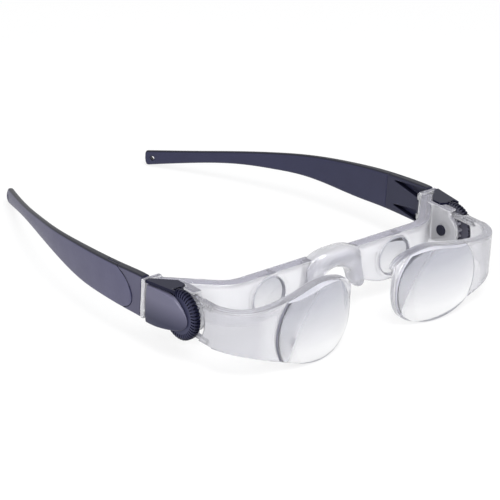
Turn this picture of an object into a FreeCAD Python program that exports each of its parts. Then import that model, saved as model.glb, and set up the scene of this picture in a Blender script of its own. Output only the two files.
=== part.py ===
import FreeCAD, Part
import math
import os

V = FreeCAD.Vector

# Binocular glasses in millimetres. They are built with the hinge line at y = 0, the
# wearer looking along -Y and +Z up, then set down with the origin on the table, under
# the middle of the whole. Every pair is built on the wearer's left, at +X, and mirrored.
hinge_width = 150.0
half_width = hinge_width / 2
overrun = hinge_width

# Temples, which run back from the hinges, bend in and come down to the table
temple_length = 132.5
temple_top = 27.5
temple_thickness = 4.5
temple_edge_radius = 1.1
temple_crown = 0.35
hinge_gap = 0.3
# shares of the length, the half width, the top, again the top for the lower edge, and
# the thickness
TEMPLE_SHARES = [
    (0.000, 1.000, 1.000, 0.400, 1.00),
    (0.059, 1.001, 0.989, 0.400, 1.00),
    (0.127, 0.999, 0.964, 0.396, 0.98),
    (0.204, 0.989, 0.935, 0.389, 0.93),
    (0.280, 0.971, 0.898, 0.382, 0.87),
    (0.356, 0.947, 0.855, 0.396, 0.80),
    (0.440, 0.914, 0.800, 0.422, 0.74),
    (0.547, 0.855, 0.713, 0.420, 0.69),
    (0.668, 0.772, 0.593, 0.371, 0.67),
    (0.798, 0.670, 0.451, 0.262, 0.65),
    (0.912, 0.573, 0.330, 0.122, 0.65),
    (1.000, 0.495, 0.240, 0.004, 0.65),
]
eyelet_radius = 1.0
tip_corner_share = 0.45

# Hinge inserts, the front ends of the temples, which the long arms lap over
insert_length = 22.0
insert_step = 0.4
insert_skin = 2.0
seam = 0.12
nose_height = 16.5
# shares of the insert's length, and of the nose's height above its lower corner
NOSE_SHARES = [(0.56, 0.00), (0.35, 0.10), (0.25, 0.24), (0.235, 0.38), (0.275, 0.53),
               (0.355, 0.68), (0.47, 0.81), (0.60, 0.90), (0.78, 1.00)]

# Hinges
pin_radius = 0.8
pin_inset = 4.7
pin_back = 1.6
pin_head_radius = 1.35
pin_head_height = 0.6
pin_fit = 0.06
barrel_radius = 1.9
barrel_bottom = 16.8
barrel_height = 4.9
ear_radius = 2.0
ear_height = 2.5
ear_gap = 0.5
ear_clearance = 0.3
pocket_depth = 2.4
pocket_straight = 4.3
pocket_length = 19.0
pocket_height = 4.6

# Rear frame: brow flange, curtain that holds the eyepieces, end posts and side walls
flange_depth = 4.6
flange_thickness = 1.9
flange_top = 26.2
flange_back = 18.3
flange_bend_inset = 26.7
flange_bend_x = half_width - flange_bend_inset
flange_angle = 42.8
flange_bend_radius = 12.0
curtain_thickness = 1.7
curtain_nasal_x = 10.5
curtain_bottom = 7.3
curtain_rise = 4.4
curtain_side_inset = 15.0
curtain_side_x = half_width - curtain_side_inset
# shares of the side x and of the rise, from the nose out to the side
HEM_SHARES = [(0.175, 1.18), (0.26, 0.90), (0.33, 0.50), (0.42, 0.12), (0.53, 0.00), (0.66, 0.07),
              (0.80, 0.38), (1.00, 1.00)]
post_depth = 2.0
post_bottom = 11.2
post_width = 8.6
post_top = 27.1
bridge_bar_depth = 3.0
bridge_bar_bottom = 21.2
bridge_bar_top = 24.8
bridge_bar_reach = 14.0

# Nose saddle, an arch with two legs
saddle_depth = 5.6
saddle_front = 24.0
saddle_half_width = 15.8
saddle_height = 28.0
saddle_edge_radius = 1.2
# shares of the half width and of the height, from the top to the arch, at +X
SADDLE_SHARES = [(0.00, 1.000), (0.22, 0.996), (0.443, 0.983), (0.640, 0.965), (0.790, 0.935),
                 (0.875, 0.865), (0.900, 0.730), (0.930, 0.560), (0.994, 0.421), (0.949, 0.364),
                 (0.835, 0.336), (0.709, 0.357), (0.62, 0.461), (0.532, 0.582), (0.456, 0.643),
                 (0.266, 0.689), (0.00, 0.721)]

# Eyepieces, the hollow round lenses that the eyes look into
eyepiece_x = 32.0
eyepiece_z = 17.0
eyepiece_radius = 7.8
eyepiece_edge = 2.7
eyepiece_hollow_radius = 21.0
eyepiece_rim = 1.1
eyepiece_rim_depth = 2.3
lens_fit = 0.08

# Objective carriers, the clear shells that slide fore and aft
carrier_side_inset = 5.7
carrier_side_x = half_width - carrier_side_inset
carrier_height = 31.0
carrier_reach = 47.8
carrier_wall = 2.2
carrier_rim_depth = 3.8
carrier_rim_height = 1.6
toe_in_angle = 4.5
carrier_corner_width = 19.3
carrier_flat_end_x = carrier_side_x - carrier_corner_width
carrier_nasal_x = 11.2
plan_lead = 5.0
# shares of the side x and of the reach, round the outer corner and back along the side
CORNER_SHARES = [(0.815, 0.990), (0.900, 0.935), (0.961, 0.840), (0.991, 0.740), (1.000, 0.640)]
carrier_back_share = 0.42
# shares of the side x and of the height, from the nasal edge outwards
UPPER_SHARES = [(0.162, 0.760), (0.169, 0.835), (0.196, 0.893), (0.250, 0.945), (0.345, 0.990),
                (0.430, 0.990), (0.529, 0.952), (0.629, 0.916), (0.743, 0.893), (0.871, 0.868),
                (1.020, 0.830)]
LOWER_SHARES = [(1.020, 0.335), (0.900, 0.300), (0.800, 0.235), (0.690, 0.145), (0.571, 0.055),
                (0.443, 0.005), (0.345, 0.010), (0.262, 0.070), (0.204, 0.180), (0.173, 0.330),
                (0.162, 0.480)]
scoop_margin = 7.8
scoop_depth = 0.7
wheel_margin = 1.5

# Objective lenses, bulged, cut off by the carrier's own outline
objective_x = 31.2
objective_z = 15.0
objective_radius = 19.0
objective_front_radius = 39.0
objective_back_radius = 120.0
objective_edge = 3.2
objective_proud = 0.7
opening_share = 0.965
lens_inset_share = 0.005

# Focus wheels, pinions and racks
wheel_y = -17.5
wheel_z = 17.9
wheel_radius = 9.7
wheel_width = 3.0
wheel_inset = 3.6
wheel_outer_x = half_width - wheel_inset
wheel_teeth = 44
wheel_notch = 0.8
wheel_rib_length = 2.5
wheel_rib_height = 0.7
wheel_back_bevel = 0.4
wheel_bevel = 0.9
wheel_bevel_depth = 1.3
notch_share = 0.42
pinion_teeth = 13
pinion_pitch_radius = 5.2
addendum_share = 0.8
dedendum_share = 1.05
tooth_share = 0.38
tooth_tip_share = 0.20
backlash_share = 0.78
mesh_share = 1.25
side_clearance = 0.3
axle_radius = 1.6
axle_fit = 0.05
axle_stub_radius = 1.2
axle_stub = 0.8
axle_head_radius = 2.2
axle_head_height = 0.9
axle_head_gap = 0.15
travel_back = 1.0
travel_forward = 4.0
rack_width = 2.0
rack_body = 1.6
rack_seat = 4.6
rack_screw_radius = 0.4
rack_screw_head_radius = 0.7
rack_screw_head_height = 0.4
rack_screw_hold = 1.1
rack_screw_inset = 1.1
rail_height = 1.5
rail_width = 1.9
rail_drop = 6.5
rail_seat = 2.4
rail_tail = 1.8
slide_gap = 0.3

# Side walls of the rear frame, which carry the axles and guide the racks
wall_thickness = 1.8
wall_nose_radius = 7.5
wall_back = 8.6
lip_thickness = 1.3
lip_front_inset = 3.4
lip_length = 6.0
washer_thickness = 0.3
washer_radius = 3.4

# Side housings and the domed covers over the wheels
cover_dome_radius = 60.0
cover_height_out = 3.6
cover_crest_x = wheel_outer_x + cover_height_out
cover_crest_y = -5.0
cover_taper_share = 0.94
cover_front = 23.6
cover_bottom = 10.0
cover_height = 15.9
# shares of the cover's front and height, from the band's top forwards and back below
COVER_SHARES = [(0.097, 0.995), (0.30, 1.000), (0.52, 0.985), (0.70, 0.930), (0.84, 0.800),
                (0.96, 0.610), (1.00, 0.470), (0.97, 0.330), (0.83, 0.175), (0.60, 0.080),
                (0.35, 0.020), (0.097, 0.000)]
housing_wall = 1.2
housing_bottom = 11.2
housing_top = 27.4
housing_outer_inset = 0.2
housing_front_inset = 2.6
housing_front = 16.4
housing_notch_inset = 7.0
housing_notch = 14.9
housing_inner = 13.2
housing_gap = 0.3


def curve(points):
    """One smooth edge through the points."""
    spline = Part.BSplineCurve()
    spline.interpolate(points)
    return spline.toShape()


def closed_curve(points):
    """One smooth closed edge through the points."""
    spline = Part.BSplineCurve()
    spline.interpolate(points, PeriodicFlag=True)
    return spline.toShape()


def chain(points):
    """Straight edges from point to point."""
    return [Part.makeLine(a, b) for a, b in zip(points, points[1:])]


def prism(edges, along):
    return Part.Face(Part.Wire(edges)).extrude(along)


def polygon(points, along):
    return prism(chain(points + points[:1]), along)


def block(x_range, y_range, z_range):
    """Box between two places along each axis, in any order."""
    low = V(min(x_range), min(y_range), min(z_range))
    size = [abs(b - a) for a, b in (x_range, y_range, z_range)]
    return Part.makeBox(*size, low)


def cross_rod(radius, x0, x1, y, z):
    return Part.makeCylinder(radius, x1 - x0, V(x0, y, z), V(1, 0, 0))


def upright_rod(radius, z0, z1, x, y):
    return Part.makeCylinder(radius, z1 - z0, V(x, y, z0), V(0, 0, 1))


def fore_rod(radius, y0, y1, x, z):
    return Part.makeCylinder(radius, y1 - y0, V(x, y0, z), V(0, 1, 0))


def mirrored(shape):
    return shape.mirror(V(0, 0, 0), V(1, 0, 0))


# Temples

def temple_stations():
    """Place of the outer face, edge heights and thickness at each share of the length."""
    stations = []
    for along, out, top, bottom, thick in TEMPLE_SHARES:
        y = hinge_gap + along * (temple_length - hinge_gap)
        stations.append((V(out * half_width, y, 0), top * temple_top, bottom * temple_top,
                         thick * temple_thickness))
    return stations


def temple_directions(stations):
    """Unit directions along the temple at each station, in plan."""
    places = [place for place, *rest in stations]
    line = Part.BSplineCurve()
    line.interpolate(places)
    return [V(*line.tangent(line.parameter(place))[0]) for place in places]


def temple_section(place, direction, top, bottom, thick):
    """Closed outline square to the temple, with a crowned outer face and round edges."""
    outward = V(direction.y, -direction.x, 0)
    r = temple_edge_radius
    corner = r * (1 - math.sqrt(0.5))
    outer, inner = -temple_crown, -thick

    def at(u, z):
        return place + outward * u + V(0, 0, z)

    sides = [
        (at(outer, bottom + r), at(0, (top + bottom) / 2), at(outer, top - r)),
        (at(outer, top - r), at(outer - corner, top - corner), at(outer - r, top)),
        (at(outer - r, top), None, at(inner + r, top)),
        (at(inner + r, top), at(inner + corner, top - corner), at(inner, top - r)),
        (at(inner, top - r), None, at(inner, bottom + r)),
        (at(inner, bottom + r), at(inner + corner, bottom + corner), at(inner + r, bottom)),
        (at(inner + r, bottom), None, at(outer - r, bottom)),
        (at(outer - r, bottom), at(outer - corner, bottom + corner), at(outer, bottom + r)),
    ]
    edges = [Part.Arc(a, m, b).toShape() if m else Part.makeLine(a, b) for a, m, b in sides]
    return Part.Wire(edges)


def tip_frame():
    """Middle of the eyelet and the directions outward and along the temple there."""
    stations = temple_stations()
    place, top, bottom, thick = stations[-1]
    before, top_before, bottom_before = stations[-2][:3]
    direction = temple_directions(stations)[-1]
    outward = V(direction.y, -direction.x, 0)
    radius = (top - bottom) / 2
    end = place + V(0, 0, (top + bottom) / 2)
    start = before + V(0, 0, (top_before + bottom_before) / 2)
    fall = (end - start).z / (place - before).Length
    along = (direction + V(0, 0, fall)).normalize()
    middle = end - along * radius - outward * (thick / 2)
    return middle, outward, along, radius, thick


def tip_keep(radius):
    """End of the tip about the eyelet, with rounded corners."""
    corner = tip_corner_share * radius
    side = (-temple_length, temple_length)
    body = block(side, (0, radius - corner), (-radius, radius))
    body = body.fuse(block(side, (0, radius), (corner - radius, radius - corner)))
    for z in (corner - radius, radius - corner):
        body = body.fuse(cross_rod(corner, *side, radius - corner, z))
    return body


def temple_blank():
    """Whole temple before it is parted into hinge insert and arm."""
    stations = temple_stations()
    directions = temple_directions(stations)
    sections = [temple_section(place, direction, top, bottom, thick)
                for (place, top, bottom, thick), direction in zip(stations, directions)]
    blank = Part.makeLoft(sections, True, False)
    middle, outward, along, radius, thick = tip_frame()
    up = outward.cross(along)
    placement = FreeCAD.Placement(FreeCAD.Matrix(
        outward.x, along.x, up.x, middle.x,
        outward.y, along.y, up.y, middle.y,
        outward.z, along.z, up.z, middle.z,
        0, 0, 0, 1))
    beyond = block((-temple_length, temple_length), (0, temple_length), (-temple_length, temple_length))
    waste = beyond.cut(tip_keep(radius))
    waste.Placement = placement
    bore = Part.makeCylinder(eyelet_radius, 2 * thick, middle - outward * thick, outward)
    return blank.cut(waste).cut(bore)


def insert_zone(shrink):
    """Room of the hinge insert: a round nose outside, a plain end inside."""
    lap_x = half_width - insert_skin
    base = temple_top - nose_height
    nose = [V(lap_x - shrink, y * insert_length - shrink, base + z * nose_height) for y, z in NOSE_SHARES]
    low, high = nose[0] - V(0, 0, overrun), nose[-1] + V(0, 0, overrun)
    front_low, front_high = V(low.x, -overrun, low.z), V(low.x, -overrun, high.z)
    edges = [curve(nose)] + chain([nose[-1], high, front_high, front_low, low, nose[0]])
    outer = prism(edges, V(overrun, 0, 0))
    inner = block((0, lap_x - shrink), (-overrun, insert_length - shrink), (-overrun, overrun))
    return outer.fuse(inner)


def pin_place():
    return half_width - pin_inset, pin_back


def hinge_pocket(low, high, tip):
    """Recess in the inner face, straight over the ear and tapering back to a point."""
    x = half_width - temple_thickness
    points = [V(0, -overrun, low), V(0, pocket_straight, low), V(0, pocket_length, tip),
              V(0, pocket_straight, high), V(0, -overrun, high)]
    return polygon(points, V(x + pocket_depth, 0, 0))


def ear_levels():
    """Lower and upper end of the frame's two ears, below and above the barrel."""
    low_top = barrel_bottom - ear_gap
    high_bottom = barrel_bottom + barrel_height + ear_gap
    return [(low_top - ear_height, low_top), (high_bottom, high_bottom + ear_height)]


def hinge_insert(blank):
    """Front end of a temple, with the barrel between two tapering recesses."""
    body = blank.common(insert_zone(seam))
    body = body.cut(block((half_width - insert_step, overrun), (-overrun, overrun), (-overrun, overrun)))
    (low_bottom, low_top), (high_bottom, high_top) = ear_levels()
    barrel_top = barrel_bottom + barrel_height
    upper_low = high_bottom - ear_clearance
    lower_high = low_top + ear_clearance
    body = body.cut(hinge_pocket(upper_low, upper_low + pocket_height, high_top))
    body = body.cut(hinge_pocket(lower_high - pocket_height, lower_high, low_bottom + ear_gap))
    x, y = pin_place()
    body = body.fuse(upright_rod(barrel_radius, barrel_bottom, barrel_top, x, y))
    body = body.cut(upright_rod(pin_radius + pin_fit, 0, overrun, x, y))
    return body.removeSplitter()


def temple_arm(blank):
    """Long rear part of a temple, which laps over the insert with a rounded nose."""
    return blank.cut(insert_zone(0))


def hinge_pin():
    x, y = pin_place()
    (low_bottom, low_top), (high_bottom, high_top) = ear_levels()
    shaft = upright_rod(pin_radius, low_bottom, high_top, x, y)
    head = upright_rod(pin_head_radius, high_top, high_top + pin_head_height, x, y)
    return shaft.fuse(head).removeSplitter()


# Rear frame

def flange_path():
    """Rear edge of the brow flange in plan, from the bridge out and back to the post."""
    slope = math.radians(flange_angle)
    reach = (flange_back / math.tan(slope))
    bend = V(flange_bend_x, -flange_back, 0)
    end = V(flange_bend_x + reach, 0, 0)
    start = V(curtain_nasal_x, -flange_back, 0)
    lead = flange_bend_radius * math.tan(slope / 2)
    turn = V(math.cos(slope), math.sin(slope), 0)
    first, last = bend - V(lead, 0, 0), bend + turn * lead
    centre = first + V(0, flange_bend_radius, 0)
    middle = centre + V(math.sin(slope / 2), -math.cos(slope / 2), 0) * flange_bend_radius
    return Part.Wire([Part.makeLine(start, first), Part.Arc(first, middle, last).toShape(),
                      Part.makeLine(last, end)])


def strip(path, near, far, bottom, top):
    """Wall that follows the path, between two distances in front of it."""
    wide = path.makeOffset2D(far, fill=True, openResult=True)
    body = wide.extrude(V(0, 0, top - bottom)).translated(V(0, 0, bottom))
    if near == 0:
        return body
    narrow = path.makeOffset2D(near, fill=True, openResult=True)
    waste = narrow.extrude(V(0, 0, overrun)).translated(V(0, 0, bottom - (overrun - (top - bottom)) / 2))
    return body.cut(waste)


def curtain():
    """Upright wall below the flange, deep at the eyepiece and shallow at the side."""
    wall = strip(flange_path(), flange_depth - curtain_thickness, flange_depth, curtain_bottom, flange_top)
    hem = [V(x * curtain_side_x, 0, curtain_bottom + z * curtain_rise) for x, z in HEM_SHARES]
    first, last = hem[0], hem[-1]
    below = chain([last, V(overrun, 0, last.z), V(overrun, 0, -overrun), V(0, 0, -overrun),
                   V(0, 0, first.z), first])
    return wall.cut(prism([curve(hem)] + below, V(0, -overrun, 0)))


def wall_x():
    """Inner and outer face of the side wall that carries the wheel's axle."""
    outer = carrier_side_x - carrier_wall - rack_width - side_clearance
    return outer - wall_thickness, outer


def lip_levels():
    """Lower and upper face of the frame's lip over the rack."""
    bottom = rack_levels()[2] + slide_gap
    return bottom, bottom + lip_thickness


def rail_levels():
    """Lower and upper face of the carrier's lower rail."""
    top = wheel_z - rail_drop
    return top - rail_height, top


def side_wall():
    """Upright wall with the axle bore, a lip over the rack and a foot under the rail."""
    inner, outer = wall_x()
    lip_low, lip_high = lip_levels()
    rail_low, rail_high = rail_levels()
    foot_high = rail_low - slide_gap
    foot_low = foot_high - lip_thickness
    nose = wheel_y - wall_nose_radius
    guide_outer = outer + side_clearance + rack_width
    lip_front = nose + travel_back + lip_front_inset
    wall = cross_rod(wall_nose_radius, inner, outer, wheel_y, wheel_z)
    wall = wall.fuse(block((inner, outer), (lip_front, -wall_back), (foot_low, lip_high)))
    lip = block((inner, guide_outer), (lip_front, lip_front + lip_length), (lip_low, lip_high))
    foot = block((inner, guide_outer), (lip_front, lip_front + lip_length), (foot_low, foot_high))
    wall = wall.fuse([lip, foot])
    return wall.cut(cross_rod(axle_radius + axle_fit, inner - overrun, outer + overrun, wheel_y, wheel_z))


def rear_frame():
    """Clear one-piece frame: both sides and the bar that the nose saddle sits on."""
    half = strip(flange_path(), 0, flange_depth, flange_top - flange_thickness, flange_top)
    post = block((half_width - post_width, half_width), (-post_depth, 0), (post_bottom, post_top))
    middle = -eyepiece_centre_back()
    rim = fore_rod(eyepiece_radius + eyepiece_rim, middle - eyepiece_rim_depth / 2,
                   middle + eyepiece_rim_depth / 2, eyepiece_x, eyepiece_z)
    front = flange_back + flange_depth
    bar = block((0, bridge_bar_reach), (-front, bridge_bar_depth - front),
                (bridge_bar_bottom, bridge_bar_top))
    half = half.fuse([curtain(), post, rim, bar, side_wall()])
    x, y = pin_place()
    for low, high in ear_levels():
        half = half.fuse(upright_rod(ear_radius, low, high, x, y))
        half = half.fuse(block((x - ear_radius, x + ear_radius), (-post_depth, y), (low, high)))
    barrel_low, barrel_high = barrel_bottom - ear_gap, barrel_bottom + barrel_height + ear_gap
    half = half.cut(upright_rod(barrel_radius + ear_clearance, barrel_low, barrel_high, x, y))
    half = half.cut(upright_rod(pin_radius, ear_levels()[0][0], ear_levels()[1][1], x, y))
    half = half.cut(fore_rod(eyepiece_radius + lens_fit, -overrun, 0, eyepiece_x, eyepiece_z))
    return half.fuse(mirrored(half)).removeSplitter()


def eyepiece_centre_back():
    """How far the middle of an eyepiece lies in front of the hinge line."""
    return flange_back + flange_depth - curtain_thickness / 2


def eyepiece_lens():
    """Round lens, flat towards the eye and hollow in front."""
    front = -eyepiece_centre_back() - eyepiece_edge / 2
    lens = fore_rod(eyepiece_radius, front, front + eyepiece_edge, eyepiece_x, eyepiece_z)
    sag = eyepiece_hollow_radius - math.sqrt(eyepiece_hollow_radius ** 2 - eyepiece_radius ** 2)
    ball = Part.makeSphere(eyepiece_hollow_radius,
                           V(eyepiece_x, front + sag - eyepiece_hollow_radius, eyepiece_z))
    return lens.cut(ball)


def nose_saddle(frame):
    """Soft clear arch moulded over the bridge bar, with a leg for each side of the nose."""
    right = [V(x * saddle_half_width, -saddle_front, z * saddle_height) for x, z in SADDLE_SHARES]
    left = [V(-p.x, p.y, p.z) for p in right[-2:0:-1]]
    body = prism([closed_curve(right + left)], V(0, saddle_depth, 0))
    front_edges = [edge for edge in body.Edges if edge.BoundBox.YMax - edge.BoundBox.YMin < seam]
    body = body.makeFillet(saddle_edge_radius, front_edges)
    return body.cut(frame)


# Objective carriers

def carrier_plan(inset):
    """Points of the shell in plan, moved inwards by the inset."""
    slope = math.tan(math.radians(toe_in_angle))

    def flat(x):
        return V(x, -(carrier_reach - (carrier_flat_end_x - x) * slope), 0)

    start = [flat(carrier_nasal_x - plan_lead), flat(carrier_nasal_x), flat(objective_x),
             flat(carrier_flat_end_x)]
    corner = [V(x * carrier_side_x, -y * carrier_reach, 0) for x, y in CORNER_SHARES]
    end = [V(carrier_side_x, -carrier_back_share * carrier_reach, 0)]
    line = Part.BSplineCurve()
    line.interpolate(start + corner + end)
    moved = []
    for place in start + corner + end:
        direction = V(*line.tangent(line.parameter(place))[0])
        moved.append(place + V(-direction.y, direction.x, 0) * inset)
    return moved


def shell(depth):
    """Upright wall of the given thickness round the front and the side."""
    outer, inner = carrier_plan(0), carrier_plan(depth)
    edges = [curve(outer), Part.makeLine(outer[-1], inner[-1]), curve(inner[::-1]),
             Part.makeLine(inner[0], outer[0])]
    return prism(edges, V(0, 0, 2 * overrun)).translated(V(0, 0, -overrun))


def carrier_outline(share, drop):
    """Front view of the carrier as a prism, shrunk about the lens and lowered."""
    centre = V(objective_x, 0, carrier_height / 2)

    def place(point):
        x, z = point
        full = V(x * carrier_side_x, 0, z * carrier_height)
        return centre + (full - centre) * share + V(0, -overrun, -drop)

    upper = [place(p) for p in UPPER_SHARES]
    lower = [place(p) for p in LOWER_SHARES]
    edges = [curve(upper), Part.makeLine(upper[-1], lower[0]), curve(lower),
             Part.makeLine(lower[-1], upper[0])]
    return prism(edges, V(0, overrun, 0))


def lens_opening(share, radius):
    """Round lens outline where the carrier's own outline leaves room for it."""
    disc = fore_rod(radius, -overrun, 0, objective_x, objective_z)
    return disc.common(carrier_outline(share, 0))


def objective_carrier():
    """Clear shell with a thick top rim, a finger scoop round the wheel and a lower rail."""
    outline = carrier_outline(1, 0)
    body = shell(carrier_wall).common(outline)
    top_strip = outline.cut(carrier_outline(1, carrier_rim_height))
    body = body.fuse(shell(carrier_rim_depth).common(top_strip))
    body = body.cut(lens_opening(opening_share, objective_radius + lens_fit))
    scoop = cross_rod(wheel_radius + scoop_margin, carrier_side_x - scoop_depth, carrier_side_x + overrun,
                      wheel_y, wheel_z)
    body = body.cut(scoop)
    body = body.cut(cross_rod(wheel_radius + wheel_margin, 0, overrun, wheel_y, wheel_z))
    low, high = rail_levels()
    inner_face = carrier_side_x - carrier_wall
    rack_front = wheel_y - wheel_radius - rack_seat
    body = body.cut(block((0, inner_face), (rack_front, 0), (0, rack_levels()[2])))
    root = wheel_y - wheel_radius - rail_seat
    body = body.fuse(block((inner_face - rail_width, inner_face), (root, wheel_y + rail_tail), (low, high)))
    return body.cut(rack_screws()).removeSplitter()


def objective_lens():
    """Large bulged lens, toed in with its carrier, trimmed to the carrier's opening."""
    slope = math.tan(math.radians(toe_in_angle))
    plate_front = -(carrier_reach - (carrier_flat_end_x - objective_x) * slope)
    front = plate_front - objective_proud
    sag = objective_front_radius - math.sqrt(objective_front_radius ** 2 - objective_radius ** 2)
    ball = Part.makeSphere(objective_front_radius,
                           V(objective_x, front - sag + objective_front_radius, objective_z))
    back_sag = objective_back_radius - math.sqrt(objective_back_radius ** 2 - objective_radius ** 2)
    back_ball = Part.makeSphere(objective_back_radius,
                                V(objective_x, front + objective_edge + back_sag - objective_back_radius,
                                  objective_z))
    disc = fore_rod(objective_radius, front - overrun, front + overrun, objective_x, objective_z)
    lens = disc.common(ball).common(back_ball)
    lens.rotate(V(objective_x, plate_front, objective_z), V(0, 0, 1), -toe_in_angle)
    return lens.common(lens_opening(opening_share - lens_inset_share, objective_radius))


# Focus drive

def tooth_sizes():
    """Pitch along the rack, and tooth height above and below the pitch line."""
    pitch = 2 * math.pi * pinion_pitch_radius / pinion_teeth
    module = pitch / math.pi
    return pitch, dedendum_share * module, addendum_share * module


def rack_tail():
    """How far the rack reaches behind the axle, to stay in mesh when fully forward."""
    return travel_forward + mesh_share * tooth_sizes()[0]


def rack_tooth_places():
    """Places of the rack's teeth behind the axle, with a gap for the upright tooth."""
    pitch = tooth_sizes()[0]
    half = tooth_share * backlash_share * pitch
    behind = int((rack_tail() - half) / pitch + 0.5)
    ahead = int(travel_back / pitch + mesh_share + 0.5)
    return [(step + 0.5) * pitch for step in range(behind - 1, -ahead - 1, -1)]


def pinion():
    """Toothed wheel on the axle, one tooth straight up at rest."""
    pitch, below, above = tooth_sizes()
    root, tip = pinion_pitch_radius - below, pinion_pitch_radius + above
    step = 2 * math.pi / pinion_teeth
    points = []
    for tooth in range(pinion_teeth):
        for offset, radius in ((-tooth_share, root), (-tooth_tip_share, tip),
                               (tooth_tip_share, tip), (tooth_share, root)):
            angle = math.pi / 2 + (tooth + offset * backlash_share) * step
            points.append(V(0, radius * math.cos(angle), radius * math.sin(angle)))
    inner, outer = wall_x()[1] + washer_thickness, wheel_inner_x()
    body = polygon(points, V(outer - inner, 0, 0)).translated(V(inner, wheel_y, wheel_z))
    return body.cut(cross_rod(axle_radius, inner, outer, wheel_y, wheel_z))


def wheel_inner_x():
    return wheel_outer_x - wheel_width


def rack_levels():
    """Height of the rack's tooth tips, tooth roots and top."""
    pitch, below, above = tooth_sizes()
    line = wheel_z + pinion_pitch_radius
    return line - above, line + below, line + below + rack_body


def focus_rack():
    """Toothed bar seated on the inner face of the carrier's side, teeth down."""
    pitch = tooth_sizes()[0]
    tip, root, top = rack_levels()
    outer = carrier_side_x - carrier_wall
    half_root = tooth_share * backlash_share * pitch
    half_tip = tooth_tip_share * backlash_share * pitch
    points = [V(0, rack_tail(), top), V(0, rack_tail(), root)]
    for centre in rack_tooth_places():
        points += [V(0, centre + half_root, root), V(0, centre + half_tip, tip),
                   V(0, centre - half_tip, tip), V(0, centre - half_root, root)]
    front = -wheel_radius - rack_seat
    points += [V(0, front, root), V(0, front, top)]
    body = polygon(points, V(rack_width, 0, 0)).translated(V(outer - rack_width, wheel_y, 0))
    return body.cut(rack_screws())


def rack_screws():
    """Two small screws through the rack into the carrier's side, heads let in."""
    z = rack_levels()[2] - rack_body / 2
    front = wheel_y - wheel_radius - rack_seat + rack_screw_inset
    back = wheel_y - math.sqrt((wheel_radius + wheel_margin) ** 2 - (z - wheel_z) ** 2) - rack_screw_inset
    seat = carrier_side_x - carrier_wall
    inner = seat - rack_width
    screws = []
    for y in (front, back):
        shaft = cross_rod(rack_screw_radius, inner, seat + rack_screw_hold, y, z)
        head = cross_rod(rack_screw_head_radius, inner, inner + rack_screw_head_height, y, z)
        screws.append(shaft.fuse(head).removeSplitter())
    return Part.makeCompound(screws)


def notched_disc(radius, depth, x0, x1):
    """Disc with a notch between every two teeth of its rim."""
    step = 2 * math.pi / wheel_teeth
    points = []
    for tooth in range(wheel_teeth):
        start = tooth * step
        for offset, r in ((0, radius), (1 - notch_share, radius), (1 - notch_share, radius - depth),
                          (1, radius - depth)):
            angle = start + offset * step
            points.append(V(x0, wheel_y + r * math.cos(angle), wheel_z + r * math.sin(angle)))
    return polygon(points, V(x1 - x0, 0, 0))


def focus_wheel():
    """Knurled wheel: notches round the rim, radial ribs on the outer face, both bevelled."""
    inner, outer = wheel_inner_x(), wheel_outer_x
    rib_floor = outer - wheel_rib_height
    body = notched_disc(wheel_radius, wheel_notch, inner, rib_floor)
    body = body.fuse(notched_disc(wheel_radius, wheel_rib_length, rib_floor, outer))
    r, bevel, depth = wheel_radius, wheel_bevel, wheel_bevel_depth
    profile = [V(inner, 0, 0), V(inner, 0, r - wheel_back_bevel), V(inner + wheel_back_bevel, 0, r),
               V(outer - bevel, 0, r), V(outer, 0, r - depth), V(outer, 0, 0)]
    turned = Part.Face(Part.Wire(chain(profile + profile[:1]))).revolve(V(0, 0, 0), V(1, 0, 0), 360)
    body = body.common(turned.translated(V(0, wheel_y, wheel_z)))
    return body.cut(cross_rod(axle_radius, inner, outer, wheel_y, wheel_z)).removeSplitter()


def wheel_axle():
    """Headed pin through the side wall, pinion and wheel, with a stub in the cover."""
    inner = wall_x()[0] - axle_head_gap
    axle = cross_rod(axle_radius, inner, wheel_outer_x, wheel_y, wheel_z)
    head = cross_rod(axle_head_radius, inner - axle_head_height, inner, wheel_y, wheel_z)
    stub = cross_rod(axle_stub_radius, wheel_outer_x, wheel_outer_x + axle_stub, wheel_y, wheel_z)
    return axle.fuse([head, stub]).removeSplitter()


def friction_washer():
    """Thin ring that keeps the wheel from turning by itself."""
    outer = wall_x()[1]
    ring = cross_rod(washer_radius, outer, outer + washer_thickness / 2, wheel_y, wheel_z)
    return ring.cut(cross_rod(axle_radius + axle_fit, outer, outer + washer_thickness, wheel_y, wheel_z))


# Side housings and covers

def wheel_cover():
    """Domed teardrop over the upper rear of the wheel, with a blind bore for the axle."""
    inner = wheel_outer_x + side_clearance
    centre = V(0, -cover_front / 2, cover_bottom + cover_height / 2)

    def ring(x, share):
        places = []
        for y, z in COVER_SHARES:
            full = V(0, -y * cover_front, cover_bottom + z * cover_height)
            places.append(centre + (full - centre) * share + V(x, 0, 0))
        return Part.Wire([curve(places), Part.makeLine(places[-1], places[0])])

    crest = ring(cover_crest_x + side_clearance, cover_taper_share)
    body = Part.makeLoft([ring(inner, 1), crest], True, True)
    dome = Part.makeSphere(cover_dome_radius, V(cover_crest_x - cover_dome_radius, cover_crest_y, centre.z))
    body = body.common(dome)
    depth = axle_stub - side_clearance + axle_head_gap
    return body.cut(cross_rod(axle_stub_radius + axle_fit, inner, inner + depth, wheel_y, wheel_z))


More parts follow.
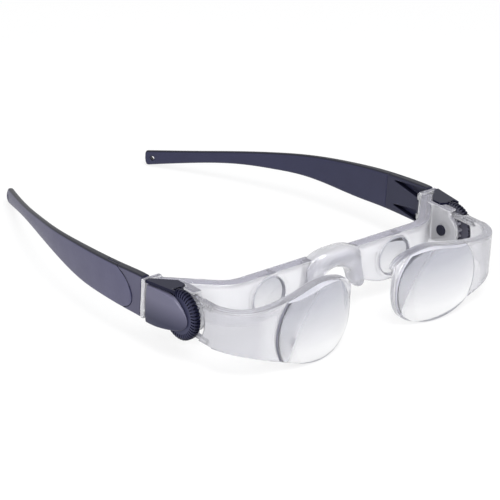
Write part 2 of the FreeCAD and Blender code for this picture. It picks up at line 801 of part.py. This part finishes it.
def side_housing():
    """Tray between the band and the wheel: top, back and bottom wall."""
    cover_x = wheel_outer_x + side_clearance
    wall_outer = wall_x()[1] + housing_gap
    slope = math.tan(math.radians(flange_angle))
    depth = flange_depth / math.cos(math.radians(flange_angle))

    def beside_flange(x):
        return -flange_back + (x - flange_bend_x) * slope - depth - housing_gap

    back = -post_depth - housing_gap
    meet_x = flange_bend_x + (back + housing_gap + depth + flange_back) / slope
    plan = [V(half_width - housing_outer_inset, back, 0),
            V(half_width - housing_front_inset, -housing_front, 0),
            V(half_width - housing_notch_inset, -housing_notch, 0), V(wall_outer, -housing_inner, 0),
            V(wall_outer, beside_flange(wall_outer), 0), V(meet_x, back, 0)]
    body = polygon(plan, V(0, 0, housing_top - housing_bottom)).translated(V(0, 0, housing_bottom))
    ceiling, floor = housing_top - housing_wall, housing_bottom + housing_wall
    body = body.cut(block((0, overrun), (-overrun, back - housing_wall), (floor, ceiling)))
    body = body.cut(block((cover_x, overrun), (-overrun, 0), (-overrun, ceiling)))
    return body.cut(cross_rod(wheel_radius + housing_gap, wheel_inner_x() - side_clearance, cover_x,
                              wheel_y, wheel_z))


def build():
    blank = temple_blank()
    frame = rear_frame()
    pairs = {
        "eyepiece_lens": eyepiece_lens(),
        "objective_carrier": objective_carrier(),
        "objective_lens": objective_lens(),
        "focus_rack": focus_rack(),
        "rack_screws": rack_screws(),
        "focus_wheel": focus_wheel(),
        "pinion": pinion(),
        "wheel_axle": wheel_axle(),
        "friction_washer": friction_washer(),
        "wheel_cover": wheel_cover(),
        "side_housing": side_housing(),
        "hinge_pin": hinge_pin(),
        "hinge_insert": hinge_insert(blank),
        "temple_arm": temple_arm(blank),
    }
    nodes = {"rear_frame": frame, "nose_saddle": nose_saddle(frame)}
    for name, shape in pairs.items():
        nodes[name + "_left"] = shape
        nodes[name + "_right"] = mirrored(shape)
    return nodes


def origin_shift(nodes):
    """Move that puts the origin on the table, under the middle of the whole."""
    box = Part.makeCompound(list(nodes.values())).optimalBoundingBox(False, False)
    return V(-(box.XMin + box.XMax) / 2, -(box.YMin + box.YMax) / 2, -box.ZMin)


nodes = build()
shift = origin_shift(nodes)
os.makedirs("parts", exist_ok=True)
for name, shape in nodes.items():
    shape.translated(shift).exportStep("parts/" + name + ".step")
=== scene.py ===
import bmesh
import bpy
import math
from mathutils import Matrix, Vector, geometry


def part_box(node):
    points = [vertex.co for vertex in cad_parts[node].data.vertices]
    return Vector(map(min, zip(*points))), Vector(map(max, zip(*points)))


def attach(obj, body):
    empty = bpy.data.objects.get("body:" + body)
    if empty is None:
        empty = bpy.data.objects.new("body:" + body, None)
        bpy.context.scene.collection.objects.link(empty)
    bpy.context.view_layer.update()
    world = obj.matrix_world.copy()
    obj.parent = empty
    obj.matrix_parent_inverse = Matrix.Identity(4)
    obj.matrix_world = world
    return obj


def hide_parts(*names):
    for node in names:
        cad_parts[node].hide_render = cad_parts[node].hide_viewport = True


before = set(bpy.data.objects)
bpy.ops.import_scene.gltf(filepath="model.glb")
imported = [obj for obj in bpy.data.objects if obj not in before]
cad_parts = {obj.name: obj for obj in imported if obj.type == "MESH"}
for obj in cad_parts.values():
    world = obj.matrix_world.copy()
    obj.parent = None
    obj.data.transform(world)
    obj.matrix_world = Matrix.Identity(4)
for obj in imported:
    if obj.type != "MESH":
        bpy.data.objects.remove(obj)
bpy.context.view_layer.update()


# Rear frame. One injection moulding in clear polycarbonate: brow flange, curtain, end
# posts and side walls. Its skin is the polished tool's, and long paths through the
# plastic look grey-lilac, so the edges and the flange are darker than the thin walls. The
# faces that look up also carry a painted shade, grey-lilac, which darkens the flange's top.
def linear(code):
    """Linear colour of an sRGB hex value."""
    steps = [int(code[i:i + 2], 16) / 255 for i in (1, 3, 5)]
    return [c / 12.92 if c <= 0.04045 else ((c + 0.055) / 1.055) ** 2.4 for c in steps] + [1.0]


def add_node(tree, kind, settings, links):
    """A node with its settings, and with its inputs linked to the given outputs.

    An input goes by its name, or by its number where others share the name.
    """
    node = tree.nodes.new(kind)
    for name, value in settings.items():
        if isinstance(name, int) or name in node.inputs:
            node.inputs[name].default_value = value
        else:
            setattr(node, name, value)
    for name, output in links.items():
        tree.links.new(output, node.inputs[name])
    return node


def new_material(name):
    """An empty node material with its output and the piece's own coordinates."""
    material = bpy.data.materials.new(name)
    material.use_nodes = True
    tree = material.node_tree
    tree.nodes.clear()
    output = add_node(tree, "ShaderNodeOutputMaterial", {}, {})
    place = add_node(tree, "ShaderNodeTexCoord", {}, {})
    return material, tree, output, place.outputs["Object"]


def facing_up(tree, low, high):
    """Painted light: a colour from low on upright faces to high on those that look up."""
    sense = add_node(tree, "ShaderNodeTexCoord", {}, {})
    parts = add_node(tree, "ShaderNodeSeparateXYZ", {}, {"Vector": sense.outputs["Normal"]})
    share = add_node(tree, "ShaderNodeMapRange", {"From Min": 0.35, "From Max": 0.95},
                     {"Value": parts.outputs["Z"]})
    tone = add_node(tree, "ShaderNodeMix", {"data_type": "RGBA", 6: linear(low), 7: linear(high)},
                    {0: share.outputs["Result"]})
    return tone.outputs[2]


def tinted_through(tree, output, skin, inside, per_metre):
    """Link a clear skin to the output, with the tint that a path inside the piece picks up."""
    depth = add_node(tree, "ShaderNodeVolumeAbsorption",
                     {"Color": linear(inside), "Density": per_metre}, {})
    tree.links.new(skin.outputs["BSDF"], output.inputs["Surface"])
    tree.links.new(depth.outputs["Volume"], output.inputs["Volume"])


def moulded_clear(name, body, top_shade, inside, per_metre, rough, clearness):
    """Satin clear plastic with flow marks 5 mm apart in its gloss, a faint 0.4 mm ripple and
    painted top shade.
    """
    material, tree, output, place = new_material(name)
    flow = add_node(tree, "ShaderNodeTexNoise",
                    {"Scale": 1 / 0.005, "Detail": 3.0, "Distortion": 0.8}, {"Vector": place})
    gloss = add_node(tree, "ShaderNodeMapRange", {"To Min": rough, "To Max": rough * 1.6},
                     {"Value": flow.outputs["Fac"]})
    ripple = add_node(tree, "ShaderNodeTexNoise", {"Scale": 1 / 0.0004, "Detail": 2.0},
                      {"Vector": place})
    bump = add_node(tree, "ShaderNodeBump", {"Strength": 0.06, "Distance": 0.00003},
                    {"Height": ripple.outputs["Fac"]})
    skin = add_node(tree, "ShaderNodeBsdfPrincipled",
                    {"Transmission Weight": clearness, "IOR": 1.585},
                    {"Base Color": facing_up(tree, body, top_shade),
                     "Roughness": gloss.outputs["Result"], "Normal": bump.outputs["Normal"]})
    tinted_through(tree, output, skin, inside, per_metre)
    return material


def dressed(node, body, materials, edge, flatten=True, edge_slot=0):
    """The CAD node's shape as a new piece with its edges rounded by the given metres."""
    weld_gap = 2e-6
    coplanar, edge_angle, shade_angle = math.radians(0.4), math.radians(32), math.radians(50)
    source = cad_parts[node]
    piece = bpy.data.objects.new("dressed_" + node, source.data.copy())
    bpy.context.scene.collection.objects.link(piece)
    mesh = piece.data
    if mesh.has_custom_normals:
        with bpy.context.temp_override(object=piece, active_object=piece, selected_objects=[piece]):
            bpy.ops.mesh.customdata_custom_splitnormals_clear()
    work = bmesh.new()
    work.from_mesh(mesh)
    bmesh.ops.remove_doubles(work, verts=work.verts, dist=weld_gap)
    if flatten:
        bmesh.ops.dissolve_limit(work, angle_limit=coplanar, verts=work.verts, edges=work.edges)
    sharp = [e for e in work.edges if len(e.link_faces) == 2 and e.calc_face_angle(0) > edge_angle]
    if edge and sharp:
        bmesh.ops.bevel(work, geom=sharp, offset=edge, segments=2, profile=0.5, affect="EDGES",
                        clamp_overlap=True, loop_slide=True, material=edge_slot)
    for face in work.faces:
        face.smooth = True
    work.to_mesh(mesh)
    work.free()
    mesh.set_sharp_from_angle(angle=shade_angle)
    weigh = piece.modifiers.new("even_normals", "WEIGHTED_NORMAL")
    weigh.keep_sharp = True
    mesh.materials.clear()
    for material in materials:
        mesh.materials.append(material)
    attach(piece, body)
    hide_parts(node)
    return piece


def round_edges(piece, rounds):
    """Draw each point of the mesh towards its neighbours, so that the edges melt round."""
    relax = piece.modifiers.new("round_edges", "SMOOTH")
    relax.factor = 0.5
    relax.iterations = rounds


def softened(node, body, material, grid, rounds=5):
    """The CAD node's shape as a new piece on an even mesh, its edges round as a moulding's."""
    piece = dressed(node, body, [material], edge=0.0, flatten=False)
    piece.modifiers.clear()
    melt = piece.modifiers.new("even_skin", "REMESH")
    melt.mode = "VOXEL"
    melt.voxel_size = grid
    melt.use_smooth_shade = True
    round_edges(piece, rounds)
    return piece


frame_clear = moulded_clear("clear_polycarbonate_frame", body="#F6F6F9", top_shade="#A6A5B3",
                            inside="#D4D4DD", per_metre=26.0, rough=0.05, clearness=0.68)
rear = softened("rear_frame", "frame", frame_clear, grid=0.0003, rounds=12)


# Nose saddle. Soft clear silicone moulded over the frame's bridge bar, with a satin skin
# that scatters the light, so it reads brighter and milkier than the hard plastic. The
# faces that look up carry a painted highlight. Its arch is crowned in front and in the
# middle, and hangs a little at the shoulders.
def distance_to(line, spot):
    """Least distance in the plane from a spot to a line of straight runs."""
    gaps = [(spot - corner).length for corner in line]
    for a, b in zip(line, line[1:]):
        foot, along = geometry.intersect_point_line(spot, a, b)
        if 0 < along < 1:
            gaps.append((spot - foot.to_2d()).length)
    return min(gaps)


def ramp(value, start, span):
    """0 up to start, 1 beyond start and span, and an even rise between them."""
    return min(1.0, max(0.0, (value - start) / span))


saddle_skin, tree, output, place = new_material("satin_silicone_saddle")
cloud = add_node(tree, "ShaderNodeTexNoise", {"Scale": 1 / 0.004, "Detail": 2.0}, {"Vector": place})
haze = add_node(tree, "ShaderNodeMapRange", {"To Min": 0.15, "To Max": 0.24},
                {"Value": cloud.outputs["Fac"]})
fine = add_node(tree, "ShaderNodeTexNoise", {"Scale": 1 / 0.0003, "Detail": 2.0}, {"Vector": place})
bump = add_node(tree, "ShaderNodeBump", {"Strength": 0.12, "Distance": 0.00004},
                {"Height": fine.outputs["Fac"]})
# Painted highlight: the base colour is lighter on the faces that look up.
skin = add_node(tree, "ShaderNodeBsdfPrincipled",
                {"Transmission Weight": 0.62, "IOR": 1.5, "Specular IOR Level": 1.0,
                 "Coat Weight": 0.8, "Coat Roughness": 0.2},
                {"Base Color": facing_up(tree, "#E4E4EB", "#F4F4F8"),
                 "Roughness": haze.outputs["Result"], "Normal": bump.outputs["Normal"]})
tinted_through(tree, output, skin, inside="#CCCCD6", per_metre=24.0)
saddle = softened("nose_saddle", "frame", saddle_skin, grid=0.0003, rounds=60)
arch_line = [Vector(spot) for spot in (
    (0, 0.0246), (0.0040, 0.0240), (0.0073, 0.0222), (0.0098, 0.0192), (0.0116, 0.0155),
    (0.0130, 0.0110))]
arch_half_width, arch_swell, crown_rise, shoulder_drop = 0.0044, 0.0017, 0.0006, 0.0008
crown_start, crown_span = 0.020, 0.006
shoulder_start, shoulder_span = 0.005, 0.009
saddle_low, saddle_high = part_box("nose_saddle")
depsgraph = bpy.context.evaluated_depsgraph_get()
arch = bpy.data.meshes.new_from_object(saddle.evaluated_get(depsgraph))
for vertex in arch.vertices:
    aside, height = abs(vertex.co.x), vertex.co.z
    away = distance_to(arch_line, Vector((aside, height)))
    full = max(0.0, 1 - (away / arch_half_width) ** 2)
    fore = (saddle_high.y - vertex.co.y) / (saddle_high.y - saddle_low.y)
    high = ramp(height, crown_start, crown_span)
    wide = ramp(aside, shoulder_start, shoulder_span)
    vertex.co.y -= arch_swell * full * fore
    vertex.co.z += high * (crown_rise * (1 - wide) - shoulder_drop * wide * wide * (3 - 2 * wide))
saddle.modifiers.clear()
saddle.data = arch
round_edges(saddle, rounds=12)


# Lenses. Cast and polished acrylic, greyed towards the top by a painted shade. The faces
# are clear, and the rim is ground and left matt grey, which shows as an arc where the lens
# is seen slantwise. The objectives' rim faces that look away from the head carry a painted
# shade, so that arc is dark on the temple side.
def polished_lens(name, inside, per_metre):
    """Clear acrylic, smooth but for fine wiping marks, with a painted shade that greys it towards
    its top.
    """
    material, tree, output, place = new_material(name)
    wipe = add_node(tree, "ShaderNodeTexNoise",
                    {"Scale": 1 / 0.0025, "Detail": 4.0, "Distortion": 2.0}, {"Vector": place})
    gloss = add_node(tree, "ShaderNodeMapRange", {"To Min": 0.0, "To Max": 0.02},
                     {"Value": wipe.outputs["Fac"]})
    height = add_node(tree, "ShaderNodeSeparateXYZ", {}, {"Vector": place})
    rise = add_node(tree, "ShaderNodeMapRange", {"From Min": 0.006, "From Max": 0.025},
                    {"Value": height.outputs["Z"]})
    painted_lens_shade = add_node(tree, "ShaderNodeMix",
                    {"data_type": "RGBA", 6: linear("#FFFFFF"), 7: linear("#C4C5CE")},
                    {0: rise.outputs["Result"]})
    skin = add_node(tree, "ShaderNodeBsdfPrincipled", {"Transmission Weight": 0.94, "IOR": 1.49},
                    {"Base Color": painted_lens_shade.outputs[2], "Roughness": gloss.outputs["Result"]})
    tinted_through(tree, output, skin, inside, per_metre)
    return material


def ground_rim(name, low, high):
    """Ground lens edge: matt, with the fine scratches of the wheel, 0.3 mm apart."""
    material, tree, output, place = new_material(name)
    grain = add_node(tree, "ShaderNodeTexNoise", {"Scale": 1 / 0.0003, "Detail": 3.0},
                     {"Vector": place})
    tone = add_node(tree, "ShaderNodeMix", {"data_type": "RGBA", 6: linear(low), 7: linear(high)},
                    {0: grain.outputs["Fac"]})
    bump = add_node(tree, "ShaderNodeBump", {"Strength": 0.3, "Distance": 0.00005},
                    {"Height": grain.outputs["Fac"]})
    skin = add_node(tree, "ShaderNodeBsdfPrincipled", {"Roughness": 0.6},
                    {"Base Color": tone.outputs[2], "Normal": bump.outputs["Normal"]})
    tree.links.new(skin.outputs["BSDF"], output.inputs["Surface"])
    return material


def tone_over(material, share):
    """Mix a new tone over a material's colour by the share, and return the tone's input."""
    tree = material.node_tree
    skin = next(node for node in tree.nodes if node.type == "BSDF_PRINCIPLED")
    colour = skin.inputs["Base Color"]
    both = add_node(tree, "ShaderNodeMix", {"data_type": "RGBA"},
                    {0: share, 6: colour.links[0].from_socket})
    tree.links.new(both.outputs[2], colour)
    return both.inputs[7]


def tone_away_from_head(material, low, high, start=0.45, whole=0.85):
    """Lay a cloudy tone over the faces that look away from the head.

    A face looks away by 1, along the side by 0 and towards the head by -1. The tone starts
    at the first share and is whole at the second, so a pair below 0 tones the inner faces.
    """
    tree = material.node_tree
    coat = add_node(tree, "ShaderNodeTexCoord", {}, {})
    spot = add_node(tree, "ShaderNodeSeparateXYZ", {}, {"Vector": coat.outputs["Object"]})
    sense = add_node(tree, "ShaderNodeSeparateXYZ", {}, {"Vector": coat.outputs["Normal"]})
    side_sign = add_node(tree, "ShaderNodeMath", {"operation": "SIGN"}, {0: spot.outputs["X"]})
    outward = add_node(tree, "ShaderNodeMath", {"operation": "MULTIPLY"},
                       {0: side_sign.outputs[0], 1: sense.outputs["X"]})
    share = add_node(tree, "ShaderNodeMapRange", {"From Min": start, "From Max": whole},
                     {"Value": outward.outputs[0]})
    cloud = add_node(tree, "ShaderNodeTexNoise", {"Scale": 1 / 0.009, "Detail": 3.0},
                     {"Vector": coat.outputs["Object"]})
    side_tone = add_node(tree, "ShaderNodeMix",
                       {"data_type": "RGBA", 6: linear(low), 7: linear(high)},
                       {0: cloud.outputs["Fac"]})
    tree.links.new(side_tone.outputs[2], tone_over(material, share.outputs["Result"]))


lens_clear = polished_lens("polished_acrylic_lens", inside="#D8D9E2", per_metre=18.0)
rim_grey = ground_rim("ground_lens_rim", "#BFBFC9", "#D0D0D8")
# Painted shade: the rim's faces that look away from the head are darker.
tone_away_from_head(rim_grey, "#6C6C78", "#82828E", start=0.1, whole=0.6)
rim_pale = ground_rim("ground_eyepiece_rim", "#BDBDC7", "#D3D3DB")
rim_slant = 0.15
for side in ("left", "right"):
    eyepiece = dressed("eyepiece_lens_" + side, "frame", [lens_clear, rim_pale], edge=0.00015)
    objective = dressed("objective_lens_" + side, "carrier_" + side, [lens_clear, rim_grey],
                        edge=0.0002)
    for lens in (eyepiece, objective):
        for face in lens.data.polygons:
            if abs(face.normal.y) < rim_slant:
                face.material_index = 1


# Objective carriers. Clear polycarbonate shells, moulded like the frame, with the same
# painted shade on the faces that look up, greyer on the faces that look outwards, and
# with the clear racks on the inner side of each wing.
carrier_clear = moulded_clear("clear_polycarbonate_carrier", body="#F0F0F3", top_shade="#A9A9B5",
                              inside="#D4D4DC", per_metre=24.0, rough=0.08, clearness=0.72)
tone_away_from_head(carrier_clear, "#D0D0D5", "#D5D5DA", start=-0.15, whole=0.35)
for side in ("left", "right"):
    shell = softened("objective_carrier_" + side, "carrier_" + side, carrier_clear,
                     grid=0.00022, rounds=9)
    rack = dressed("focus_rack_" + side, "carrier_" + side, [carrier_clear], edge=0.00006)


# Small metal parts. Turned stainless steel: the hinge pins and the rack screws, with the
# lathe's fine rings across the shine.
steel, tree, output, place = new_material("turned_stainless_steel")
rings = add_node(tree, "ShaderNodeTexNoise", {"Scale": 1 / 0.0002, "Detail": 2.0},
                 {"Vector": place})
gloss = add_node(tree, "ShaderNodeMapRange", {"To Min": 0.22, "To Max": 0.42},
                 {"Value": rings.outputs["Fac"]})
bump = add_node(tree, "ShaderNodeBump", {"Strength": 0.1, "Distance": 0.00002},
                {"Height": rings.outputs["Fac"]})
skin = add_node(tree, "ShaderNodeBsdfPrincipled",
                {"Base Color": linear("#C4C5C8"), "Metallic": 1.0},
                {"Roughness": gloss.outputs["Result"], "Normal": bump.outputs["Normal"]})
tree.links.new(skin.outputs["BSDF"], output.inputs["Surface"])
for side in ("left", "right"):
    pin = dressed("hinge_pin_" + side, "frame", [steel], edge=0.0001)
    screws = dressed("rack_screws_" + side, "carrier_" + side, [steel], edge=0.00005)


# Focus drive. Near-black glass-filled nylon wheel with radial ribs, its axle, a grey
# acetal pinion and a black rubber friction washer. The ribs' edges carry a painted
# highlight, the wheel's outer face is paler, and its inner face is painted a pale grey
# as a painted reflection.
def moulded_dark(name, low, high, rough, speck, grain_size=0.00035, relief=0.00003, shine=0.35):
    """Opaque moulded plastic with a spark-eroded grain and slow changes of tone."""
    material, tree, output, place = new_material(name)
    slow = add_node(tree, "ShaderNodeTexNoise", {"Scale": 1 / 0.012, "Detail": 3.0},
                    {"Vector": place})
    tone = add_node(tree, "ShaderNodeMix", {"data_type": "RGBA", 6: linear(low), 7: linear(high)},
                    {0: slow.outputs["Fac"]})
    grain = add_node(tree, "ShaderNodeTexNoise",
                     {"Scale": 1 / grain_size, "Detail": 2.0, "Roughness": 0.6}, {"Vector": place})
    gloss = add_node(tree, "ShaderNodeMapRange", {"To Min": rough, "To Max": rough + speck},
                     {"Value": grain.outputs["Fac"]})
    bump = add_node(tree, "ShaderNodeBump", {"Strength": 0.25, "Distance": relief},
                    {"Height": grain.outputs["Fac"]})
    skin = add_node(tree, "ShaderNodeBsdfPrincipled", {"IOR": 1.5, "Specular IOR Level": shine},
                    {"Base Color": tone.outputs[2], "Roughness": gloss.outputs["Result"],
                     "Normal": bump.outputs["Normal"]})
    tree.links.new(skin.outputs["BSDF"], output.inputs["Surface"])
    return material


wheel_nylon = moulded_dark("glass_filled_nylon_wheel", "#0A0B1C", "#121328", rough=0.24,
                           speck=0.14, grain_size=0.0004, shine=0.12)
# The faces that look away from the head are paler, and those that look towards it carry a pale grey
# painted reflection.
tone_away_from_head(wheel_nylon, "#323348", "#3D3E54", start=0.7, whole=0.95)
tone_away_from_head(wheel_nylon, "#44444F", "#6A6A76", start=-0.6, whole=-0.9)
axle_nylon = moulded_dark("moulded_nylon_axle", "#0A0B1C", "#121328", rough=0.24, speck=0.14,
                          grain_size=0.0004, shine=0.25)
# A painted highlight on the ribs' edges, where the light catches them.
rib_edge_highlight = moulded_dark("nylon_rib_edge_highlight", "#33344C", "#45465F", rough=0.20, speck=0.10,
                          grain_size=0.0004, shine=0.5)
acetal = moulded_dark("acetal_pinion", "#8E8E98", "#A3A3AC", rough=0.28, speck=0.15,
                      grain_size=0.0005, relief=0.00002)
rubber = moulded_dark("rubber_washer", "#101012", "#1A1A1C", rough=0.7, speck=0.15,
                      grain_size=0.0004, relief=0.00004)
for side in ("left", "right"):
    wheel = dressed("focus_wheel_" + side, "wheel_" + side, [wheel_nylon, rib_edge_highlight],
                    edge=0.00009, edge_slot=1)
    axle = dressed("wheel_axle_" + side, "wheel_" + side, [axle_nylon], edge=0.00015)
    pinion = dressed("pinion_" + side, "wheel_" + side, [acetal], edge=0.00006)
    washer = dressed("friction_washer_" + side, "frame", [rubber], edge=0.00003)


# Side housings and wheel covers. Satin dark blue-grey ABS, snapped on beside the band. The
# cover carries a painted highlight, paler over its upper part.
def fade_upwards(material, sense, low, high, code):
    """Painted light and shade: fade a plastic's tone into another as its height, or its normal's,
    goes up.
    """
    tree = material.node_tree
    coat = add_node(tree, "ShaderNodeTexCoord", {}, {})
    parts = add_node(tree, "ShaderNodeSeparateXYZ", {}, {"Vector": coat.outputs[sense]})
    share = add_node(tree, "ShaderNodeMapRange", {"From Min": low, "From Max": high},
                     {"Value": parts.outputs["Z"]})
    tone_over(material, share.outputs["Result"]).default_value = linear(code)


housing_abs = moulded_dark("satin_abs_housing", "#101124", "#17182D", rough=0.26, speck=0.14,
                           shine=0.12)
cover_abs = moulded_dark("satin_abs_cover", "#25263C", "#2C2D44", rough=0.24, speck=0.12,
                         shine=0.3)
# Painted highlight: the cover is paler towards its top.
fade_upwards(cover_abs, "Object", low=0.0135, high=0.0215, code="#5C5B6E")
for side in ("left", "right"):
    housing = dressed("side_housing_" + side, "frame", [housing_abs], edge=0.00025)
    cover = softened("wheel_cover_" + side, "frame", cover_abs, grid=0.0002, rounds=24)


# Temples. Dark blue-grey nylon, moulded in two pieces: the hinge insert, and the long arm
# that laps over it with a rounded nose. The outer face carries a painted highlight and
# looks paler than the inner face, and the faces that look up carry a painted shade and
# are darkest.
temple_nylon = moulded_dark("satin_nylon_temple", "#26273C", "#2E2F47", rough=0.32, speck=0.18,
                            shine=0.25)
# Painted highlight: the arm's faces that look away from the head are painted paler.
tone_away_from_head(temple_nylon, "#4A4960", "#57566D")
insert_nylon = moulded_dark("satin_nylon_insert", "#232436", "#2B2C40", rough=0.32, speck=0.18,
                            shine=0.25)
# Painted highlight: the insert's faces that look away from the head are painted paler.
tone_away_from_head(insert_nylon, "#474659", "#525166")
# Painted shade: the faces that look up are darkest.
for nylon in (temple_nylon, insert_nylon):
    fade_upwards(nylon, "Normal", low=0.45, high=0.8, code="#0D0E1E")
for side in ("left", "right"):
    insert = softened("hinge_insert_" + side, "temple_" + side, insert_nylon, grid=0.0002)
    arm = softened("temple_arm_" + side, "temple_" + side, temple_nylon, grid=0.00028)


# Studio. A pale floor that fades into a white background, with one softbox at the front
# left and one overhead. What the lens, the shine and the clear parts show of it is nearly
# white, while the light that the background sheds is softer and comes from the front left.
def shown_rays(tree):
    """1 for the rays that show the studio: straight on, in the shine or through the part."""
    ray = add_node(tree, "ShaderNodeLightPath", {}, {})
    seen = add_node(tree, "ShaderNodeMath", {"operation": "MAXIMUM"},
                    {0: ray.outputs["Is Camera Ray"], 1: ray.outputs["Is Transmission Ray"]})
    also = add_node(tree, "ShaderNodeMath", {"operation": "MAXIMUM"},
                    {0: seen.outputs[0], 1: ray.outputs["Is Glossy Ray"]})
    return also.outputs[0]


floor_half_width, floor_cells, glow_share = 4.0, 24, 0.8
floor_mesh = bpy.data.meshes.new("studio_floor")
work = bmesh.new()
bmesh.ops.create_grid(work, x_segments=floor_cells, y_segments=floor_cells, size=floor_half_width)
work.to_mesh(floor_mesh)
work.free()
floor = bpy.data.objects.new("studio_floor", floor_mesh)
bpy.context.scene.collection.objects.link(floor)
floor_paint, tree, output, place = new_material("pale_floor")
mottle = add_node(tree, "ShaderNodeTexNoise", {"Scale": 1 / 0.05, "Detail": 2.0}, {"Vector": place})
tone = add_node(tree, "ShaderNodeMix",
                {"data_type": "RGBA", 6: linear("#F7F7F8"), 7: linear("#FAFAFB")},
                {0: mottle.outputs["Fac"]})
matt = add_node(tree, "ShaderNodeBsdfDiffuse", {}, {"Color": tone.outputs[2]})
glow = add_node(tree, "ShaderNodeEmission", {"Strength": 1.0}, {})
part = add_node(tree, "ShaderNodeMath", {"operation": "MULTIPLY", 1: glow_share},
                {0: shown_rays(tree)})
mixed = add_node(tree, "ShaderNodeMixShader", {},
                 {0: part.outputs[0], 1: matt.outputs[0], 2: glow.outputs[0]})
tree.links.new(mixed.outputs[0], output.inputs["Surface"])
floor_mesh.materials.append(floor_paint)

world = bpy.data.worlds.new("studio")
bpy.context.scene.world = world
world.use_nodes = True
tree = world.node_tree
tree.nodes.clear()
front_left = Vector((-0.62, -0.70, 0.35)).normalized()
sky = add_node(tree, "ShaderNodeTexCoord", {}, {})
facing = add_node(tree, "ShaderNodeVectorMath", {"operation": "DOT_PRODUCT", 1: front_left},
                  {0: sky.outputs["Generated"]})
soft = add_node(tree, "ShaderNodeMapRange",
                {"From Min": -0.6, "From Max": 1.0, "To Min": 0.28, "To Max": 0.95},
                {"Value": facing.outputs["Value"]})
lit = add_node(tree, "ShaderNodeBackground", {"Color": linear("#FFFFFF")},
               {"Strength": soft.outputs["Result"]})
white = add_node(tree, "ShaderNodeBackground", {"Color": linear("#FFFFFF"), "Strength": 1.0}, {})
mixed = add_node(tree, "ShaderNodeMixShader", {},
                 {0: shown_rays(tree), 1: lit.outputs[0], 2: white.outputs[0]})
add_node(tree, "ShaderNodeOutputWorld", {}, {"Surface": mixed.outputs[0]})


def soft_lamp(name, at, aim, size, power):
    """A square softbox that looks at a point."""
    lamp = bpy.data.lights.new(name, "AREA")
    lamp.shape = "SQUARE"
    lamp.size = size
    lamp.energy = power
    holder = bpy.data.objects.new(name, lamp)
    bpy.context.scene.collection.objects.link(holder)
    holder.location = at
    holder.rotation_euler = (Vector(aim) - Vector(at)).to_track_quat("-Z", "Y").to_euler()


soft_lamp("front_left_softbox", at=(-0.75, -0.65, 0.55), aim=(0, 0, 0.01), size=0.6, power=5.0)
soft_lamp("overhead_softbox", at=(-0.13, -0.45, 0.90), aim=(0, -0.03, 0.01), size=0.45, power=6.0)

pin_behind_origin, aim_behind_origin, aim_height, camera_distance = 0.0016, 0.02412, 0.0099, 1.1
azimuth, elevation, roll = math.radians(-42.335), math.radians(24.322), math.radians(3.221)
hinge_low, hinge_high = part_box("hinge_pin_left")
fit_origin = (hinge_low.y + hinge_high.y) / 2 - pin_behind_origin
target = Vector((0, aim_behind_origin + fit_origin, aim_height))
back = Vector((math.sin(azimuth) * math.cos(elevation), -math.cos(azimuth) * math.cos(elevation),
               math.sin(elevation)))
right = Vector((math.cos(azimuth), math.sin(azimuth), 0))
up = back.cross(right)
tilted_right = right * math.cos(roll) + up * math.sin(roll)
tilted_up = up * math.cos(roll) - right * math.sin(roll)
stand = target + back * camera_distance
lens_data = bpy.data.cameras.new("photo_camera")
lens_data.lens = 203.5
lens_data.sensor_width = 36.0
camera = bpy.data.objects.new("photo_camera", lens_data)
bpy.context.scene.collection.objects.link(camera)
camera.matrix_world = Matrix((
    (tilted_right.x, tilted_up.x, back.x, stand.x),
    (tilted_right.y, tilted_up.y, back.y, stand.y),
    (tilted_right.z, tilted_up.z, back.z, stand.z),
    (0, 0, 0, 1)))
bpy.context.scene.camera = camera
bpy.context.scene.view_settings.view_transform = "Standard"
